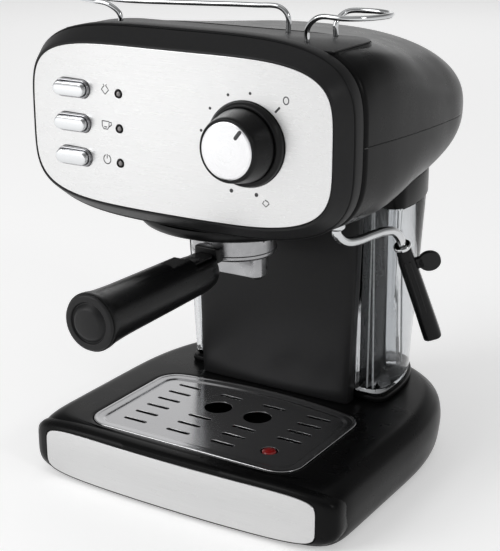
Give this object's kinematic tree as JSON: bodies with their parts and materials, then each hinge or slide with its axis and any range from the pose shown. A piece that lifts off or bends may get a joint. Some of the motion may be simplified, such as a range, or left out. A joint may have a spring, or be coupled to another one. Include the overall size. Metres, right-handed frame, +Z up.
{
  "type": "espresso machine",
  "caption": "Compact home espresso machine: drip base, wrap-around rear tank, wide head with push buttons and steam knob, locking portafilter and swivelling steam wand.",
  "frame": {"origin": "on the surface the machine stands on, under the centre of its bounding box", "axes": "+X to the machine's right as seen from the front, -Y to the front where the controls are, +Z up"},
  "size_m": [0.244, 0.3408, 0.3299],
  "materials": {
    "black_gloss": "smooth black moulded plastic with a soft gloss",
    "black_satin": "satin black moulded plastic",
    "stainless": "fine brushed stainless sheet",
    "polished_steel": "polished stainless pressing",
    "chrome": "bright chrome",
    "cast_aluminium": "satin die-cast aluminium",
    "cap_metal": "spun brushed aluminium",
    "brass": "machined brass",
    "clear_tank": "clear moulded plastic, lightly smoked",
    "rubber": "matt black rubber",
    "hose": "translucent silicone",
    "red_plastic": "red moulded plastic",
    "lamp": "smoked grey lens, unlit",
    "circuit_board": "green circuit board"
  },
  "bodies": {
    "body": {"base_housing": "black_gloss", "base_bottom_cover": "black_satin", "foot_1": "rubber", "foot_2": "rubber", "foot_3": "rubber", "foot_4": "rubber", "base_front_trim": "stainless", "cord_gland": "rubber", "column_spine": "black_gloss", "column_front_panel": "black_satin", "tank_inlet_socket": "rubber", "head_upper_shell": "black_gloss", "head_lower_shell": "black_gloss", "head_front_bezel": "black_gloss", "head_fascia": "stainless", "cup_shelf_plate": "black_satin", "cup_rail_right": "chrome", "cup_rail_left": "chrome", "knob_skirt": "black_gloss", "steam_valve": "brass", "button_collar_steam": "chrome", "button_collar_brew": "chrome", "button_collar_power": "chrome", "lamp_steam": "lamp", "lamp_brew": "lamp", "lamp_power": "lamp", "control_board": "circuit_board", "group_saucer": "black_gloss", "group_head": "cast_aluminium", "group_gasket": "rubber", "shower_screen": "polished_steel", "shower_screw": "polished_steel", "boiler": "cast_aluminium", "wand_nut": "chrome", "pump": "cast_aluminium", "brew_hose": "hose"},
    "drip_tray": {"drip_tray": "black_satin"},
    "drip_grille": {"drip_grille": "polished_steel"},
    "float": {"water_level_float": "red_plastic"},
    "tank": {"water_tank": "clear_tank", "tank_foot": "black_gloss", "tank_lid": "black_gloss", "tank_outlet_nozzle": "black_satin"},
    "portafilter": {"portafilter_bowl": "cast_aluminium", "filter_basket": "polished_steel", "portafilter_spout": "cast_aluminium", "portafilter_neck": "black_satin", "portafilter_handle": "black_satin", "handle_end_cap": "black_satin"},
    "clip": {"basket_clip": "black_satin"},
    "knob": {"steam_knob": "black_gloss", "knob_cap": "cap_metal", "knob_spindle": "brass"},
    "steam_button": {"button_steam": "chrome"},
    "brew_button": {"button_brew": "chrome"},
    "power_button": {"button_power": "chrome"},
    "wand": {"steam_wand": "chrome"},
    "sleeve": {"frother_sleeve": "black_satin", "sleeve_ring": "chrome", "wand_grip_tab": "black_satin"}
  },
  "joints": [
    {"name": "tray_lift", "type": "slide", "parent": "body", "child": "drip_tray", "axis": [0, 0, 1], "range_m": [0, 0.06]},
    {"name": "grille_lift", "type": "slide", "parent": "drip_tray", "child": "drip_grille", "axis": [0, 0, 1], "range_m": [0, 0.04]},
    {"name": "float_rise", "type": "slide", "parent": "drip_tray", "child": "float", "axis": [0, 0, 1], "range_m": [0, 0.006]},
    {"name": "tank_slide", "type": "slide", "parent": "body", "child": "tank", "axis": [0, 1, 0], "range_m": [0, 0.13]},
    {"name": "portafilter_turn", "type": "hinge", "parent": "body", "child": "portafilter", "pos_m": [0, -0.0085, 0.17], "axis": [0, 0, 1], "range_deg": [-60, 0]},
    {"name": "clip_flip", "type": "hinge", "parent": "portafilter", "child": "clip", "pos_m": [0, -0.0462, 0.1692], "axis": [-1, 0, 0], "range_deg": [0, 12]},
    {"name": "knob_turn", "type": "hinge", "parent": "body", "child": "knob", "pos_m": [0.0548, -0.09, 0.2567], "axis": [0, -1, 0], "range_deg": [0, 250]},
    {"name": "steam_button_press", "type": "slide", "parent": "body", "child": "steam_button", "axis": [0, 1, 0], "range_m": [0, 0.003], "stiffness_N_per_m": 300},
    {"name": "brew_button_press", "type": "slide", "parent": "body", "child": "brew_button", "axis": [0, 1, 0], "range_m": [0, 0.003], "stiffness_N_per_m": 300},
    {"name": "power_button_press", "type": "slide", "parent": "body", "child": "power_button", "axis": [0, 1, 0], "range_m": [0, 0.003], "stiffness_N_per_m": 300},
    {"name": "wand_swivel", "type": "hinge", "parent": "body", "child": "wand", "pos_m": [0.078, -0.01, 0.19], "axis": [0, 0, 1], "range_deg": [-110, 0]},
    {"name": "sleeve_pull", "type": "slide", "parent": "wand", "child": "sleeve", "axis": [0.1203, 0.4207, -0.8992], "range_m": [0, 0.03]}
  ]
}
